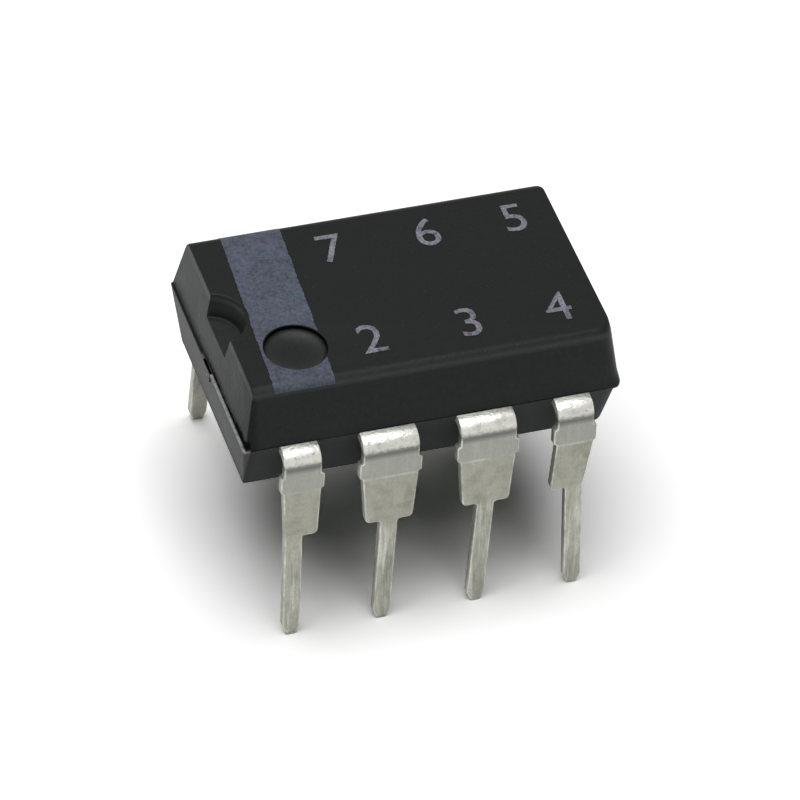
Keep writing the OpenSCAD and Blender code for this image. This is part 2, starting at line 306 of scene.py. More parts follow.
def sooty_foot(f, y, z, mottle):
    """1 in a ragged band over the parting line, strongest at the front, where the crease gets
    painted shade.
    """
    ragged = f.plus(z, f.fade(mottle, 0.3, 0.7, -0.06 * MM, 0.06 * MM))
    foot = f.times(f.past(ragged, PARTING_Z, 0.36, 0.12), f.past(z, PARTING_Z, 0, 0.02))
    return f.times(foot, f.past(y, 0, 2.0, -0.5, 0.6, 1.0))


def bright_line(f, y, z, mottle):
    """1 on the front stretch of the parting line, broken up by the mottling, where the flash's lip
    gets a painted highlight.
    """
    line = f.times(f.near(z, PARTING_Z, 0.08), f.past(y, 0, 0.6, -0.2))
    return f.times(line, f.fade(mottle, 0.35, 0.5, 0.4, 1.0))


def dimple_grime(f, chip, z):
    """1 in the corner between the dimple's wall and its floor, where painted shade goes."""
    spot = (*dimple_centre(chip), TOP_Z - chip.dimple_depth)
    away = f.add("ShaderNodeVectorMath", {0: f.point, 1: spot}, operation="DISTANCE")
    return f.times(f.near(away.outputs["Value"], chip.dimple_radius, 0.12),
                   f.past(z, TOP_Z, -0.02, -0.06))


def epoxy_finish(chip):
    """Black filled epoxy: matt, fine grained, with a few pale filler grains."""
    f = Finish("filled_epoxy")
    x, y, z = (f.axis(letter) for letter in "XYZ")
    grain = f.noise(0.04, 2, 0.6)
    patches = f.noise(0.9, 4, 0.6)
    mottle = f.noise(0.16, 4, 0.7)
    flecks = f.fade(f.noise(0.06, 1, 0.4), 0.68, 0.78)
    notched_end = f.past(x, BLOCK_LOW.x, 0.21, 0.15)
    lower_half = f.past(z, PARTING_Z, 0, -0.05)
    strip = f.times(lower_half, notched_end)
    foot = f.times(sooty_foot(f, y, z, mottle), notched_end)
    line = f.times(bright_line(f, y, z, mottle), notched_end)
    corner_shade = dimple_grime(f, chip, z)
    tone = f.mix(f.fade(patches, 0.35, 0.7), chip.epoxy * 0.85, chip.epoxy)
    tone = f.mix(f.fade(mottle, 0.35, 0.75, 0.0, 0.35), tone, chip.epoxy * 2)
    # painted shade and light: the marked face and its edges, lit most by the lamp overhead, get a
    # third of the colour, and the lower half, which faces the floor, three times it
    tone = f.mix(marked_face(f, y, z), tone, chip.epoxy * 0.33)
    tone = f.mix(lower_half, tone, chip.epoxy * 3)
    # painted reflection on the strip, painted shade in the crease and in the dimple's corner, a
    # painted highlight on the flash's lip, and the filler grains
    for amount, mark in ((strip, STRIP_REFLECTION), (foot, CREASE_SHADE), (line, LIP_HIGHLIGHT), (corner_shade, CORNER_SHADE),
                         (f.times(flecks, 0.5), chip.filler)):
        tone = f.mix(amount, tone, mark)
    rough = f.fade(f.plus(grain, patches), 0.7, 1.3, 0.40, 0.50)
    f.set(Base_Color=tone, Roughness=f.plus(rough, f.times(lower_half, 0.26)))
    # the rounded edges are burnished, the strip under the notched end reflects more, the crease
    # with painted shade and the dimple's corner reflect less, and the notched end's front stretch
    # is dull
    edges = f.times(f.near(z, TOP_Z - 0.13 * MM, 0.12),
                    f.past(y, BLOCK_LOW.y, 0.55, 0.45, 0.17, 0.36))
    dull = f.times(f.past(x, BLOCK_LOW.x, 0.43, 0.28, 0.0, -0.09),
                   f.past(y, BLOCK_LOW.y, 1.67, 0.37))
    plain = 0.19
    sheen = f.plus(edges, f.times(strip, 0.35))
    sheen = f.plus(sheen, f.times(foot, -plain))
    sheen = f.plus(f.plus(sheen, dull), plain)
    f.set(Specular_IOR_Level=f.times(sheen, f.fade(corner_shade, 0, 1, 1, 0)))
    f.set(Normal=f.bump(grain, 0.006, f.bump(patches, 0.02)))
    return f.material


def leg_tone(f, leads, shoulder, pin, blotches, crystals, scores):
    """Colour of the legs: blotched shoulders, a cleaner band over them and streaked pins, whose
    light streaks are partly painted highlight.
    """
    dull = f.times(f.fade(blotches, 0.36, 0.66), f.fade(shoulder, 0, 1, 0.35, 0.8))
    tone = f.mix(dull, leads.tin, leads.stain)
    # the pins are made a little lighter
    tone = f.mix(f.times(pin, 0.12), tone, leads.bright)
    tone = f.mix(f.fade(shoulder, 1, 0, 0.0, 0.5), tone, CLEAN_BAND)
    scored = f.times(f.fade(scores, 1.0, 1.35), f.fade(pin, 0, 1, 0.1, 0.6))
    tone = f.mix(scored, tone, SCORE)
    streaks = f.noise(0.14, 2, 0.5, f.upright(0.07))
    streaked = f.times(f.fade(streaks, 0.52, 0.68), f.fade(pin, 0, 1, 0.12, 0.8))
    tone = f.mix(streaked, tone, STREAK)
    return f.mix(f.fade(f.plus(crystals, blotches), 1.0, 0.8, 0.0, 0.35), tone, CRYSTAL)


def bend_tone(f, leads, z, tone):
    """The legs' colour with the bends' laid over it: a painted highlight, specked, with a painted
    dark reflection at the foot.
    """
    bend = f.past(z, BEND_FOOT_Z, 0.15, 0.2)
    ragged = f.plus(z, f.fade(f.noise(0.09, 2, 0.6), 0.3, 0.7, -0.03 * MM, 0.03 * MM))
    # a painted dark reflection at the bends' foot, then a painted highlight up the bends
    tone = f.mix(f.near(z, BEND_FOOT_Z, 0.16), tone, DARK_REFLECTION)
    tone = f.mix(f.past(ragged, BEND_FOOT_Z, 0.07, 0.2), tone, leads.bright)
    specks = f.times(f.fade(f.noise(0.13, 3, 0.6), 0.60, 0.70), bend)
    tone = f.mix(f.times(specks, 0.5), tone, SPECK)
    smudge = f.times(f.fade(f.noise(0.28, 3, 0.65), 0.50, 0.68, 0.0, 0.5), bend)
    return f.mix(smudge, tone, SMUDGE)


def worn_tone(f, leads, z, tone):
    """The colour with painted highlights in patches on the rounded edges and along the ridge at the
    ears, and cut tips.
    """
    highlight_patches = f.fade(f.noise(0.5, 3, 0.6), 0.38, 0.62, 0.05, 0.65)
    highlight_patches = f.times(highlight_patches, f.past(z, BEND_FOOT_Z, 0.08, -0.02))
    rim = f.add("ShaderNodeAttribute", attribute_name=EDGE_MARK).outputs["Fac"]
    # painted highlights, in patches, on the rounded edges and along the ridge
    tone = f.mix(f.times(highlight_patches, rim), tone, leads.bright)
    tone = f.mix(f.times(highlight_patches, f.near(z, EAR_FOOT_Z, 0.05)), tone, RIDGE_HIGHLIGHT)
    return f.mix(f.times(f.past(z, 0, 0.10, 0.02), 0.4), tone, CUT_TIP)


def tin_finish(leads):
    """Tin plating on stamped strip, with fine scores and broad grooves along the pins."""
    f = Finish("tin_plating")
    z = f.axis("Z")
    blotches = f.noise(0.33, 4, 0.65)
    crystals = f.noise(0.07, 2, 0.6)
    fine = f.noise(0.05, 2, 0.5, f.upright(0.05))
    broad = f.noise(0.16, 2, 0.5, f.upright(0.12))
    shoulder = f.past(z, EAR_FOOT_Z, 0.05, -0.02)
    pin = f.past(z, PIN_TOP_Z, 0.2, -0.2)
    tone = leg_tone(f, leads, shoulder, pin, blotches, crystals, f.plus(fine, broad))
    tone = worn_tone(f, leads, z, bend_tone(f, leads, z, tone))
    f.set(Base_Color=tone, Metallic=0.9)
    cloudy = f.plus(blotches, crystals)
    burnish = f.past(z, BEND_FOOT_Z, 0, 0.2, 0.44, 0.40)
    f.set(Roughness=f.plus(burnish, f.fade(cloudy, 0.7, 1.3, 0.0, 0.12)))
    relief = f.bump(f.times(broad, pin), 0.04, f.bump(cloudy, 0.012))
    f.set(Normal=f.bump(fine, 0.006, relief))
    return f.material


def ink_finish(name, high, low):
    """Pad-printed ink: a thin, mottled film that the dark moulding shows through."""
    f = Finish(name)
    grain = f.noise(0.07, 3, 0.65)
    cloud = f.noise(0.13, 3, 0.6)
    wash = f.noise(0.9, 3, 0.6)
    patches = f.noise(0.25, 3, 0.6)
    tone = f.mix(f.past(f.axis("Y"), 0, -3.0, 3.0), low, high)
    red, green, blue = high
    tone = f.mix(f.fade(cloud, 0.46, 0.36), tone, (red * 0.92, green * 1.05, blue * 0.98))
    tone = f.mix(f.fade(cloud, 0.50, 0.60), tone, (red * 1.18, green * 0.92, blue * 1.03))
    thin = f.plus(f.fade(grain, 0.62, 0.38, 0.0, 0.55), f.fade(wash, 0.6, 0.35, 0.0, 0.2))
    thin = f.plus(thin, f.fade(patches, 0.55, 0.35, 0.0, 0.25))
    f.set(Base_Color=f.mix(thin, tone, UNDER_INK))
    f.set(Roughness=f.fade(grain, 0.3, 0.7, 0.5, 0.65), Specular_IOR_Level=0.2)
    f.set(Normal=f.bump(grain, 0.004))
    return f.material


def metal_finish(name, tone, dull, rough, size):
    """Plain metal with a grain of a size in millimetres, and two tones of it."""
    f = Finish(name)
    grain = f.noise(size, 3, 0.6)
    f.set(Base_Color=f.mix(f.fade(grain, 0.35, 0.7), tone, dull), Metallic=1.0)
    f.set(Roughness=f.fade(grain, 0.3, 0.7, rough, rough + 0.15))
    f.set(Normal=f.bump(grain, size * 0.05))
    return f.material


def frame_copper_finish():
    """Copper of the lead frame: dull where it is sealed in, and at its cut ends painted shade, near
    black, with painted glints.
    """
    f = Finish("cut_frame_copper")
    grain = f.noise(0.12, 3, 0.6)
    outside = f.past(f.math("ABSOLUTE", f.axis("X")), BLOCK_HIGH.x, -0.28, -0.18)
    # painted shade at the cut ends, near black, with light specks as painted glints
    cut_end_shade_and_glints = f.mix(f.fade(grain, 0.64, 0.70), (0.02, 0.019, 0.017), (0.6, 0.58, 0.53))
    sealed = f.mix(f.fade(grain, 0.35, 0.7), (0.52, 0.5, 0.46), (0.34, 0.31, 0.27))
    f.set(Base_Color=f.mix(outside, sealed, cut_end_shade_and_glints), Metallic=1.0)
    f.set(Roughness=f.fade(grain, 0.3, 0.7, 0.4, 0.55), Normal=f.bump(grain, 0.012))
    return f.material


# Meshes

def new_object(name, data):
    """A new object in the scene."""
    piece = bpy.data.objects.new(name, data)
    bpy.context.scene.collection.objects.link(piece)
    return piece


def mesh_piece(name, points, faces):
    mesh = bpy.data.meshes.new(name)
    mesh.from_pydata([Vector(p) for p in points], [], faces)
    mesh.validate()
    return new_object(name, mesh)


def evaluated_mesh(piece):
    """A plain mesh of a piece as its modifiers, or its text, make it."""
    graph = bpy.context.evaluated_depsgraph_get()
    graph.update()
    return bpy.data.meshes.new_from_object(piece.evaluated_get(graph))


def settle(piece):
    """Applies the modifiers on a piece."""
    mesh = evaluated_mesh(piece)
    piece.modifiers.clear()
    piece.data = mesh


def cut(piece, *cutters):
    """Takes each cutter out of a piece, and removes it."""
    for cutter in cutters:
        step = piece.modifiers.new("cut", "BOOLEAN")
        step.operation = "DIFFERENCE"
        step.solver = "EXACT"
        step.object = cutter
        settle(piece)
        bpy.data.objects.remove(cutter)


def shade(piece, material, sharp):
    """Gives a piece its material and smooths the edges under a sharp angle in degrees."""
    bm = bmesh.new()
    bm.from_mesh(piece.data)
    bmesh.ops.remove_doubles(bm, verts=bm.verts, dist=0.0003 * MM)
    for face in bm.faces:
        face.smooth = True
        face.material_index = 0
    for edge in bm.edges:
        closed = len(edge.link_faces) == 2
        edge.smooth = closed and edge.calc_face_angle() < math.radians(sharp)
    bm.to_mesh(piece.data)
    bm.free()
    piece.data.materials.clear()
    piece.data.materials.append(material)


def place(piece, slot, *nodes):
    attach(piece, "root")
    if nodes:
        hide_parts(*nodes)


def turned(name, profile, centre):
    """Closed solid of revolution: profile is (radius, height) points from axis to axis."""
    steps = 96
    points, faces, rings = [], [], []
    for radius, height in profile:
        if radius == 0:
            rings.append([len(points)] * steps)
            points.append((0, 0, height))
            continue
        rings.append(range(len(points), len(points) + steps))
        points += [(radius * math.cos(2 * math.pi * i / steps),
                    radius * math.sin(2 * math.pi * i / steps), height) for i in range(steps)]
    for low, high in zip(rings, rings[1:]):
        for i in range(steps):
            j = (i + 1) % steps
            corners = [low[i], low[j], high[j], high[i]]
            faces.append(list(dict.fromkeys(corners)))
    return mesh_piece(name, [Vector(p) + Vector(centre) for p in points], faces)


def arc(centre, radius, start, end, steps):
    """Points of an arc, from one angle to another in radians."""
    return [(centre[0] + radius * math.cos(start + (end - start) * i / steps),
             centre[1] + radius * math.sin(start + (end - start) * i / steps))
            for i in range(steps + 1)]


def drafted(half, height, draft, radius):
    """Half size at a height over the parting line, with a rounded last edge."""
    tangent = radius * math.tan((math.pi / 2 - draft) / 2)
    middle = half - height * math.tan(draft) - tangent

    def half_at(h):
        over = h - (height - radius)
        if over < radius * math.sin(draft):
            return half - h * math.tan(draft)
        return middle + math.sqrt(max(radius * radius - over * over, 0))

    return half_at


def edge_levels(height, radius, draft, steps):
    """Heights at which a rounded edge needs rings."""
    return [height - radius + radius * math.sin(draft + (math.pi / 2 - draft) * i / steps)
            for i in range(steps + 1)]


def rounded_ring(left, right, front, back, radii, z):
    """Rectangle with rounded corners, anticlockwise from its back right one."""
    steps = 6
    ring = []
    for quarter, (sx, sy) in enumerate(((1, 1), (-1, 1), (-1, -1), (1, -1))):
        radius = radii[quarter]
        middle = ((right - radius) if sx > 0 else -(left - radius),
                  (back - radius) if sy > 0 else -(front - radius))
        start = quarter * math.pi / 2
        ring += [(x, y, z) for x, y in arc(middle, radius, start, start + math.pi / 2, steps)]
    return ring


def half_size(chip):
    """Half the block's length and half its width at the parting line, without the flash."""
    return BLOCK_HIGH.x - chip.flash, BLOCK_HIGH.y - chip.flash


def corner_radii(chip, rise):
    """Radii of a ring's corners; the front far one grows with rise, a share of the flare."""
    flared = chip.front_corner * min(1.0, 0.5 + 0.5 * rise)
    return chip.far_corner, chip.corner_radius, chip.corner_radius, flared


def half_rings(chip, side):
    """Rings of the upper half (side 1) or the lower one (-1), from the parting line on."""
    half_x, half_y = half_size(chip)
    if side > 0:
        height, shift, long_radius = TOP_Z - PARTING_Z, 0, chip.long_radius
        ends = chip.end_draft, chip.far_draft
        sides = chip.side_draft, chip.back_draft
    else:
        height, shift, long_radius = PARTING_Z - BLOCK_LOW.z, chip.shift, chip.end_radius
        ends = chip.lower_end_draft, chip.lower_far_draft
        sides = chip.lower_side_draft, chip.lower_side_draft
    left_at = drafted(half_x + shift, height, ends[0], chip.end_radius)
    right_at = drafted(half_x - shift, height, ends[1], chip.end_radius)
    front_at, back_at = (drafted(half_y, height, draft, long_radius) for draft in sides)
    levels = sorted({0.0, *edge_levels(height, chip.end_radius, ends[0], 4),
                     *edge_levels(height, long_radius, sides[0], 10)})
    if side > 0:
        levels[1:1] = [chip.crease, FLARE / 2, FLARE]
    rings = [rounded_ring(left_at(h), right_at(h), front_at(h), back_at(h),
                          corner_radii(chip, 1 if side < 0 else h / FLARE),
                          PARTING_Z + side * h) for h in levels]
    if side > 0:
        # the upper half starts at the bottom of the crease
        far, deep = half_x - chip.crease, half_y - chip.crease
        rings[0] = rounded_ring(far, far, deep, deep, corner_radii(chip, 0), PARTING_Z)
    return rings


def block_form(chip):
    """The block's closed form before anything is cut into it."""
    rings = half_rings(chip, -1)[::-1] + half_rings(chip, 1)
    count = len(rings[0])
    points = [p for ring in rings for p in ring]
    faces = [[k * count + i, k * count + (i + 1) % count,
              (k + 1) * count + (i + 1) % count, (k + 1) * count + i]
             for k in range(len(rings) - 1) for i in range(count)]
    faces += [list(range(count))[::-1], list(range(len(points) - count, len(points)))]
    return mesh_piece("moulded_block", points, faces)


def notch_cutter(chip):
    """The end notch, opened upwards past its rounded rim."""
    draft, lip, fillet = chip.notch_draft, chip.notch_lip, 0.05 * MM
    wall = chip.notch_radius + (chip.notch_depth - lip * (1 - math.sin(draft))) * math.tan(draft)
    middle = (wall + lip * math.cos(draft), chip.notch_depth - lip)
    floor = chip.notch_radius - fillet
    profile = [(0, 0), (floor, 0)]
    profile += arc((floor, fillet), fillet, -math.pi / 2, 0, 4)[1:]
    profile += arc(middle, lip, math.pi - draft, math.pi / 2, 6)
    profile += [(middle[0], chip.notch_depth + MM), (0, chip.notch_depth + MM)]
    return turned("notch", profile, (-half_size(chip)[0], 0, TOP_Z - chip.notch_depth))


def dimple_centre(chip):
    """Where the mark beside pin 1 lies on the marked face."""
    half_x, half_y = half_size(chip)
    return chip.dimple_x - half_x, chip.dimple_y - half_y


def dimple_cutter(chip):
    """The mark beside pin 1: a small rounded rim, a short wall and a dished floor."""
    radius, lip, steps = chip.dimple_radius, 0.02 * MM, 20
    rim = chip.dimple_depth - lip
    profile = [(radius * i / steps, -chip.dimple_dish * (1 - (i / steps) ** 3))
               for i in range(steps + 1)]
    profile.append((radius, rim))
    profile += arc((radius + lip, rim), lip, math.pi, math.pi / 2, 4)[1:]
    profile += [(radius + lip, MM), (0, MM)]
    return turned("dimple", profile, (*dimple_centre(chip), TOP_Z - chip.dimple_depth))


def disc_cutter(radius, low, high, centre):
    """A plain cylinder between two heights over its centre."""
    return turned("disc", [(0, low), (radius, low), (radius, high), (0, high)], centre)


def merged_copy(node, name):
    """A merged copy of a CAD node's mesh, without the lines across its flat faces."""
    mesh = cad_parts[node].data.copy()
    mesh.name = name
    bm = bmesh.new()
    bm.from_mesh(mesh)
    bmesh.ops.remove_doubles(bm, verts=bm.verts, dist=0.0005 * MM)
    bmesh.ops.dissolve_limit(bm, angle_limit=math.radians(0.5), verts=bm.verts, edges=bm.edges)
    bm.to_mesh(mesh)
    bm.free()
    return new_object(name, mesh)


class CHIP_OT_moulding(bpy.types.Operator):
    """Makes the moulded block with its notch, dimple and ejector marks."""

    bl_idname = "chip.moulding"
    bl_label = "Moulded block"

    def execute(self, context):
        chip = settings("chip_moulding")
        block = block_form(chip)
        marks = [disc_cutter(chip.ejector_radius, -MM, chip.ejector_depth,
                             (side * chip.ejector_spacing / 2, 0, BLOCK_LOW.z))
                 for side in (-1, 1)]
        cut(block, notch_cutter(chip), dimple_cutter(chip), *marks)
        shade(block, epoxy_finish(chip), 24)
        place(block, "moulding", "moulded_body")
        return {"FINISHED"}


def flash_tree():
    """Nodes that sweep a ragged fin of flash along an outline, and its inputs' identifiers."""
    tree = bpy.data.node_groups.new("ragged_flash", "GeometryNodeTree")
    sockets = tree.interface
    sockets.new_socket("Geometry", in_out="INPUT", socket_type="NodeSocketGeometry")
    inputs = {}
    for name, kind in (("Step", "Float"), ("Reach", "Float"), ("Thickness", "Float"),
                       ("Seed", "Int"), ("Material", "Material")):
        socket = sockets.new_socket(name, in_out="INPUT", socket_type="NodeSocket" + kind)
        inputs[name] = socket.identifier
    sockets.new_socket("Geometry", in_out="OUTPUT", socket_type="NodeSocketGeometry")

    def add(kind, sockets=None, **choices):
        return add_node(tree, kind, sockets, **choices).outputs

    given = add("NodeGroupInput")
    path = add("GeometryNodeMeshToCurve", {"Mesh": given["Geometry"]})[0]
    path = add("GeometryNodeResampleCurve", {"Curve": path, "Length": given["Step"]},
               mode="LENGTH")[0]
    coarse = add("ShaderNodeTexNoise", {
        "Vector": add("GeometryNodeInputPosition")[0], "W": given["Seed"],
        "Scale": 1 / (0.5 * MM), "Detail": 3.0, "Roughness": 0.75}, noise_dimensions="4D")["Fac"]
    reach = add("ShaderNodeMapRange", {"Value": coarse, "From Min": 0.38, "From Max": 0.72,
                                       "To Min": 0.35, "To Max": 1.0})[0]
    # the fin's section: a four-cornered circle, flattened to a thin blade
    section = add("GeometryNodeCurvePrimitiveCircle", {"Resolution": 4, "Radius": 1.0},
                  mode="RADIUS")[0]
    blade = add("ShaderNodeCombineXYZ", {"X": given["Thickness"], "Y": given["Reach"], "Z": 1.0})[0]
    section = add("GeometryNodeTransform", {"Geometry": section, "Scale": blade})[0]
    fin = add("GeometryNodeCurveToMesh", {"Curve": path, "Profile Curve": section,
                                          "Scale": reach, "Fill Caps": True})[0]
    fin = add("GeometryNodeRealizeInstances", {"Geometry": fin})[0]
    fin = add("GeometryNodeSetMaterial", {"Geometry": fin, "Material": given["Material"]})[0]
    add_node(tree, "NodeGroupOutput", {0: fin})
    return tree, inputs


class CHIP_OT_flash(bpy.types.Operator):
    """Sweeps the ragged fin of flash along the parting line."""

    bl_idname = "chip.flash"
    bl_label = "Flash at the parting line"

    def execute(self, context):
        chip = settings("chip_moulding")
        # the fin starts inside the crease
        root = 0.6 * chip.crease
        half_x, half_y = (half - root for half in half_size(chip))
        ring = rounded_ring(half_x, half_x, half_y, half_y, corner_radii(chip, 0), PARTING_Z)
        mesh = bpy.data.meshes.new("mould_flash")
        mesh.from_pydata(ring, [(i, (i + 1) % len(ring)) for i in range(len(ring))], [])
        fin = new_object("mould_flash", mesh)
        tree, inputs = flash_tree()
        modifier = fin.modifiers.new("flash", "NODES")
        modifier.node_group = tree
        material = bpy.data.materials["filled_epoxy"]
        for name, value in (("Step", chip.flash_step), ("Reach", chip.flash + root),
                            ("Thickness", 0.025 * MM), ("Seed", 3), ("Material", material)):
            modifier[inputs[name]] = value
        settle(fin)
        shade(fin, material, 30)
        place(fin, "moulding")
        return {"FINISHED"}


class CHIP_OT_leads(bpy.types.Operator):
    """Rounds the stamped edges of the leads and plates them."""

    bl_idname = "chip.leads"
    bl_label = "Leads"

    def execute(self, context):
        leads = settings("chip_leads")
        tin = tin_finish(leads)
        for node in LEADS:
            lead = merged_copy(node, "tinned_" + node)
            lead.data.materials.append(tin)
            # the bevel's own slot tells its faces apart until they are marked
            edge_slot = len(lead.data.materials) - 1
            edge = lead.modifiers.new("edge", "BEVEL")
            edge.material = edge_slot
            edge.width = leads.edge
            edge.segments = 2
            edge.limit_method = "ANGLE"
            edge.angle_limit = math.radians(40)
            settle(lead)
            marks = lead.data.attributes.new(EDGE_MARK, "FLOAT", "FACE")
            marks.data.foreach_set("value", [float(face.material_index == edge_slot)
                                             for face in lead.data.polygons])
            shade(lead, tin, 32)
            place(lead, "plated_lead", node)
        return {"FINISHED"}


def over_edge(chip, half_y, draft):
    """Path up a drafted side and over its rounded edge, and where the flat top begins."""
    height, radius = TOP_Z - PARTING_Z, chip.long_radius
    middle = half_y - height * math.tan(draft) - radius * math.tan((math.pi / 2 - draft) / 2)
    path = []
    low = BAND_LOW_Z - PARTING_Z
    start = height - radius + radius * math.sin(draft)
    if low < start:
        path.append((half_y - low * math.tan(draft), low, math.cos(draft), math.sin(draft)))
        low = start
    first, steps = math.asin((low - (height - radius)) / radius), 8
    for i in range(steps + 1):
        turn = first + (math.pi / 2 - first) * i / steps
        path.append((middle + radius * math.cos(turn), height - radius + radius * math.sin(turn),
                     math.cos(turn), math.sin(turn)))
    return path, middle


def across(chip, samples):
    """Path over the block's upper section, from front to back: points and outward normals."""
    half_y = half_size(chip)[1]
    front, near = over_edge(chip, half_y, chip.side_draft)
    back, far = over_edge(chip, half_y, chip.back_draft)
    path = [(-y, PARTING_Z + h, -ny, nz) for y, h, ny, nz in front]
    path += [((near + far) * i / samples - near, TOP_Z, 0, 1) for i in range(1, samples)]
    return path + [(y, PARTING_Z + h, ny, nz) for y, h, ny, nz in back[::-1]]


def band_points(chip, ink, path):
    """Rows of points over the film and under it, between two ragged edges."""
    dice = random.Random(11)
    left = ink.from_end - half_size(chip)[0]
    # each edge keeps a share of its last wander, and the film's underside lies in the moulding
    kept, stray, sunk = 0.6, 0.64 * ink.ragged, 0.2 * ink.thickness
    wander = [0.0, 0.0]
    points = []
    for y, z, ny, nz in path:
        wander = [kept * w + stray * dice.uniform(-1, 1) for w in wander]
        for lift in (ink.thickness, -sunk):
            for k in range(BAND_COLUMNS + 1):
                t = k / BAND_COLUMNS
                x = left + ink.width * t + math.tan(ink.slant) * y
                x += wander[0] * (1 - t) + wander[1] * t
                points.append((x, y + lift * ny, z + lift * nz))
    return points


def band_faces(rows):
    """Faces over the film and under it, along its ragged edges and across its two ends."""
    under = BAND_COLUMNS + 1
    faces = []
    for r in range(rows):
        a, b = r * 2 * under, (r + 1) * 2 * under
        if r < rows - 1:
            for k in range(BAND_COLUMNS):
                low = k + under
                faces.append([a + k, a + k + 1, b + k + 1, b + k])
                faces.append([a + low, b + low, b + low + 1, a + low + 1])
            for k, turn in ((0, 1), (BAND_COLUMNS, -1)):
                faces.append([a + k, b + k, b + k + under, a + k + under][::turn])
        if r in (0, rows - 1):
            turn = 1 if r == 0 else -1
            for k in range(BAND_COLUMNS):
                faces.append([a + k, a + k + under, a + k + under + 1, a + k + 1][::turn])
    return faces


class CHIP_OT_band(bpy.types.Operator):
    """Prints the ink band over the block's left end."""

    bl_idname = "chip.band"
    bl_label = "Ink band"

    def execute(self, context):
        chip, ink = settings("chip_moulding"), settings("chip_ink")
        path = across(chip, samples=180)
        band = mesh_piece("printed_band", band_points(chip, ink, path), band_faces(len(path)))
        rim = 0.02 * MM
        hole = disc_cutter(chip.dimple_radius + rim, -MM, MM, (*dimple_centre(chip), TOP_Z))
        cut(band, hole, notch_cutter(chip))
        shade(band, ink_finish("speckled_ink", ink.ink, ink.ink * 0.84), 40)
        place(band, "marking_ink", "ink_band")
        return {"FINISHED"}


def digit_outline(pin, height):
    """Flat mesh of a pin number, centred on the origin."""
    text = bpy.data.curves.new("digit", "FONT")
    text.body = str(pin)
    digit_share = 0.7
    text.size = height / digit_share
    text.resolution_u = 6
    text.align_x = "CENTER"
    text.align_y = "CENTER"
    shape = new_object("digit", text)
    mesh = evaluated_mesh(shape)
    bpy.data.objects.remove(shape)
    return mesh


def print_digit(mesh, ink, dice, spot):
    """Gives a flat digit ragged edges and the ink's thickness, and moves it to its spot."""
    step, stray = 0.05 * MM, 0.4
    bm = bmesh.new()
    bm.from_mesh(mesh)
    bmesh.ops.remove_doubles(bm, verts=bm.verts, dist=0.0005 * MM)
    for edge in [e for e in bm.edges if e.is_boundary]:
        pieces = int(edge.calc_length() / step)
        if pieces > 1:
            bmesh.ops.subdivide_edges(bm, edges=[edge], cuts=pieces - 1)
    for vert in bm.verts:
        if vert.is_boundary:
            vert.co.x += dice.uniform(-stray, stray) * ink.ragged
            vert.co.y += dice.uniform(-stray, stray) * ink.ragged
    top = bmesh.ops.extrude_face_region(bm, geom=list(bm.faces))["geom"]
    for vert in (v for v in top if isinstance(v, bmesh.types.BMVert)):
        vert.co.z += ink.thickness
    bmesh.ops.recalc_face_normals(bm, faces=bm.faces)
    bmesh.ops.translate(bm, verts=bm.verts, vec=spot)
    bm.to_mesh(mesh)
    bm.free()


class CHIP_OT_numbers(bpy.types.Operator):
    """Prints plain pin numbers along both rows."""

    bl_idname = "chip.numbers"
    bl_label = "Pin numbers"

    def execute(self, context):
        ink = settings("chip_ink")
        material = ink_finish("digit_ink", ink.pale, ink.pale)
        dice = random.Random(5)
        for pin, x in NUMBER_X.items():
            mesh = digit_outline(pin, ink.digit_height)
            print_digit(mesh, ink, dice, (x * MM, ink.row_y if pin > 4 else -ink.row_y, TOP_Z))
            digit = new_object(f"pin_number_{pin}", mesh)
            shade(digit, material, 40)
            place(digit, "marking_ink")
        return {"FINISHED"}


class CHIP_OT_inside(bpy.types.Operator):
    """Finishes what is sealed in the block and the cut ends of its tie bars."""

    bl_idname = "chip.inside"
    bl_label = "Sealed pieces"

    def execute(self, context):
        glue = metal_finish("silver_adhesive", (0.5, 0.5, 0.48), (0.3, 0.3, 0.29), 0.6, 0.05)
        silicon = metal_finish("silicon", (0.14, 0.15, 0.2), (0.1, 0.11, 0.16), 0.2, 0.2)
        gold = metal_finish("bond_gold", (0.85, 0.6, 0.22), (0.7, 0.47, 0.16), 0.25, 0.05)
        finishes = {"die_pad": frame_copper_finish(), "die_adhesive": glue,
                    "silicon_die": silicon, **dict.fromkeys(WIRES, gold)}
        for node, material in finishes.items():
            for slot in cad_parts[node].material_slots:
                slot.link = "OBJECT"
                slot.material = material
        return {"FINISHED"}


def seen_directly(tree):
    """1 for rays from the camera and for reflected and refracted ones."""
    rays = add_node(tree, "ShaderNodeLightPath").outputs
    total = rays["Is Camera Ray"]
    for name in ("Is Glossy Ray", "Is Transmission Ray"):
        sockets = {0: total, 1: rays[name]}
        total = add_node(tree, "ShaderNodeMath", sockets, operation="MAXIMUM").outputs[0]
    return total


def floor_finish(stage):
    """Matt floor: its own colour takes the shadow, and the camera finds it white."""
    paper = bpy.data.materials.new("white_floor")
    paper.use_nodes = True
    tree = paper.node_tree
    tree.nodes.remove(tree.nodes["Principled BSDF"])
    tone = mix_colours(tree, seen_directly(tree), stage.floor, WHITE_FLOOR)
    matt = add_node(tree, "ShaderNodeBsdfDiffuse", {"Color": tone})
    join(tree, matt.outputs[0], tree.nodes["Material Output"].inputs["Surface"])
    return paper


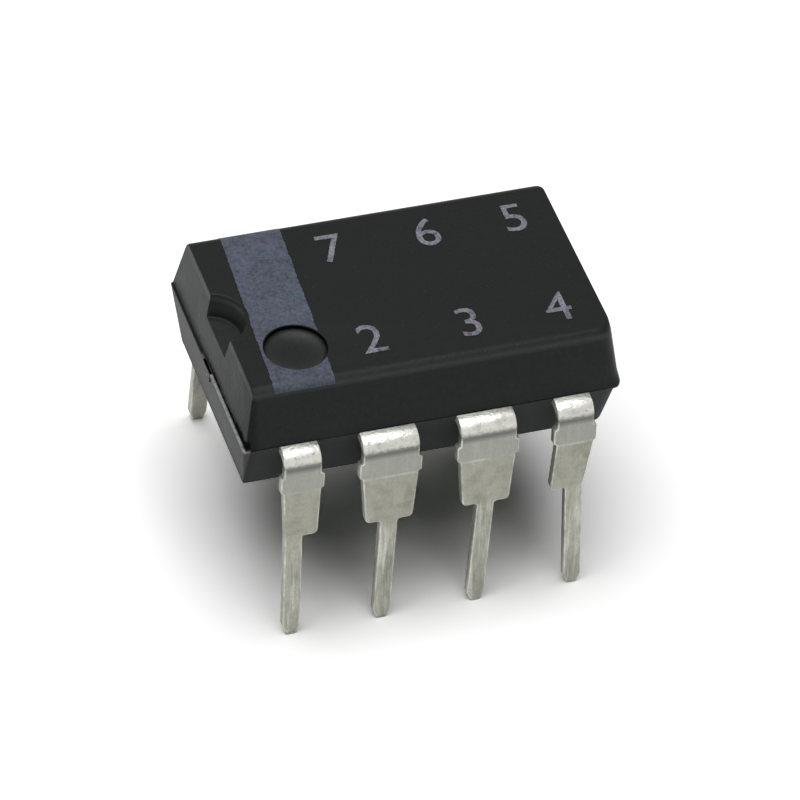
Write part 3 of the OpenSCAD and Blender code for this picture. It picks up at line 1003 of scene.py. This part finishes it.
def studio_world(stage):
    """Dim light from high up, and a white room that only the camera and reflections see."""
    world = bpy.data.worlds.new("studio")
    world.use_nodes = True
    tree = world.node_tree
    ray = add_node(tree, "ShaderNodeTexCoord").outputs["Generated"]
    height = add_node(tree, "ShaderNodeSeparateXYZ", {0: ray}).outputs["Z"]
    rise = add_node(tree, "ShaderNodeMapRange", {
        "Value": height, "From Min": 0.3, "To Max": stage.sky})
    fall = add_node(tree, "ShaderNodeMapRange", {
        "Value": height, "From Min": 0.45, "From Max": 0.85, "To Min": 1.0, "To Max": stage.dusk})
    sky = tree.nodes["Background"]
    join(tree, rise.outputs[0], sky.inputs["Strength"])
    room = add_node(tree, "ShaderNodeBackground", {"Strength": fall.outputs[0]})
    mix = add_node(tree, "ShaderNodeMixShader", {
        0: seen_directly(tree), 1: sky.outputs[0], 2: room.outputs[0]})
    join(tree, mix.outputs[0], tree.nodes["World Output"].inputs["Surface"])
    return world


def overhead_lamp(radiance):
    """A large square lamp over the chip, aimed at it."""
    spot, middle = Vector((-0.012, 0.006, 0.16)), Vector((0, 0, PARTING_Z))
    data = bpy.data.lights.new("overhead_lamp", "AREA")
    data.shape = "SQUARE"
    data.size = 0.15
    data.energy = radiance * math.pi * data.size ** 2
    lamp = new_object("overhead_lamp", data)
    lamp.location = spot
    lamp.rotation_euler = (middle - spot).to_track_quat("-Z", "Y").to_euler()


def photo_camera():
    """The photograph's view: a long lens, a little rolled."""
    turn, rise, roll = (math.radians(degrees) for degrees in (-21.18, 43.245, 4.871))
    aim, distance = Vector((0.317, 0, 2.919)) * MM, 153.228 * MM
    back = Vector((math.sin(turn) * math.cos(rise), -math.cos(turn) * math.cos(rise),
                   math.sin(rise)))
    right = Vector((math.cos(turn), math.sin(turn), 0))
    up = back.cross(right)
    side = math.cos(roll) * right + math.sin(roll) * up
    head = math.cos(roll) * up - math.sin(roll) * right
    matrix = Matrix((side, head, back)).transposed().to_4x4()
    matrix.translation = aim + back * distance
    data = bpy.data.cameras.new("camera")
    data.sensor_width = 36
    data.lens = 270.8
    data.shift_x = -0.0016
    data.shift_y = 0.0151
    data.clip_start = 0.005
    data.clip_end = 5
    camera = new_object("camera", data)
    camera.matrix_world = matrix
    return camera


class CHIP_OT_stage(bpy.types.Operator):
    """Sets the floor, the light and the camera."""

    bl_idname = "chip.stage"
    bl_label = "Stage"

    def execute(self, context):
        stage = settings("chip_stage")
        scene = context.scene
        scene.view_settings.view_transform = "Standard"
        reach = 0.4
        floor = mesh_piece("floor", [(-reach, -reach, 0), (reach, -reach, 0), (reach, reach, 0),
                                     (-reach, reach, 0)], [[0, 1, 2, 3]])
        floor.data.materials.append(floor_finish(stage))
        scene.world = studio_world(stage)
        overhead_lamp(stage.key)
        scene.camera = photo_camera()
        return {"FINISHED"}


OPERATORS = (CHIP_OT_moulding, CHIP_OT_flash, CHIP_OT_leads, CHIP_OT_band, CHIP_OT_numbers,
             CHIP_OT_inside, CHIP_OT_stage)
GROUPS = {"chip_moulding": ChipMoulding, "chip_leads": ChipLeads, "chip_ink": ChipInk,
          "chip_stage": ChipStage}


class CHIP_PT_panel(bpy.types.Panel):
    """Lists the chip's pieces and their sizes."""

    bl_idname = "CHIP_PT_panel"
    bl_label = "Dual in-line chip"
    bl_space_type = "VIEW_3D"
    bl_region_type = "UI"
    bl_category = "Chip"

    def draw(self, context):
        for operator in OPERATORS:
            self.layout.operator(operator.bl_idname)
        for name, group in GROUPS.items():
            box = self.layout.box()
            for key in group.__annotations__:
                box.prop(getattr(context.scene, name), key)


def register():
    for kind in (*GROUPS.values(), *OPERATORS, CHIP_PT_panel):
        bpy.utils.register_class(kind)
    for name, group in GROUPS.items():
        setattr(bpy.types.Scene, name, bpy.props.PointerProperty(type=group))


def unregister():
    for name in GROUPS:
        delattr(bpy.types.Scene, name)
    for kind in (CHIP_PT_panel, *OPERATORS, *GROUPS.values()):
        bpy.utils.unregister_class(kind)


def main():
    """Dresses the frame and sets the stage."""
    register()
    for operator in OPERATORS:
        getattr(bpy.ops.chip, operator.bl_idname.split(".")[1])()
    bpy.context.view_layer.update()


if __name__ == "__main__":
    main()
